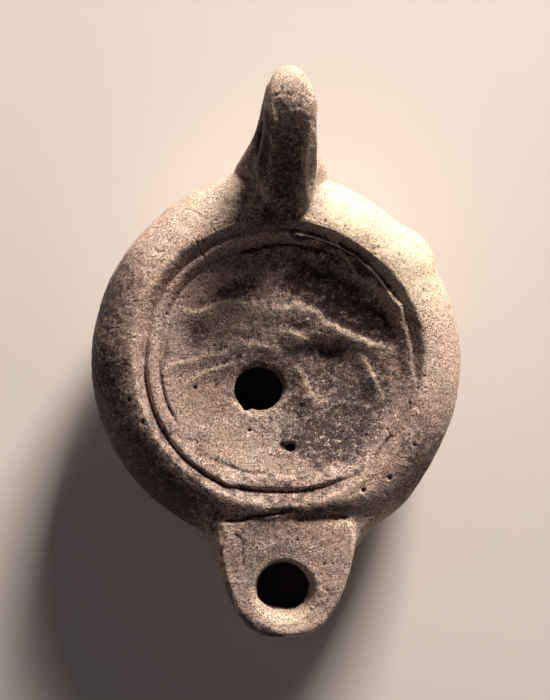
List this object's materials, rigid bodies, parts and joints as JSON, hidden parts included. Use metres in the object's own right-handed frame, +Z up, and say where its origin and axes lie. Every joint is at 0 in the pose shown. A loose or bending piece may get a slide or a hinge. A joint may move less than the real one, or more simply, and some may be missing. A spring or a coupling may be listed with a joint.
{
  "type": "roman oil lamp",
  "caption": "Mould-made clay oil lamp with a hollow body, a relief discus, a round nozzle and a pierced handle.",
  "frame": {"origin": "middle of the foot's flat underside, on the bowl's axis", "axes": "+Z up through the discus, -Y towards the nozzle, +Y towards the handle, +X to the right seen from above with the handle at the top"},
  "size_m": [0.0754, 0.1132, 0.0445],
  "materials": {
    "fired_clay": "matte, worn and stained buff earthenware"
  },
  "bodies": {
    "root": {"lamp": "fired_clay"}
  },
  "joints": []
}
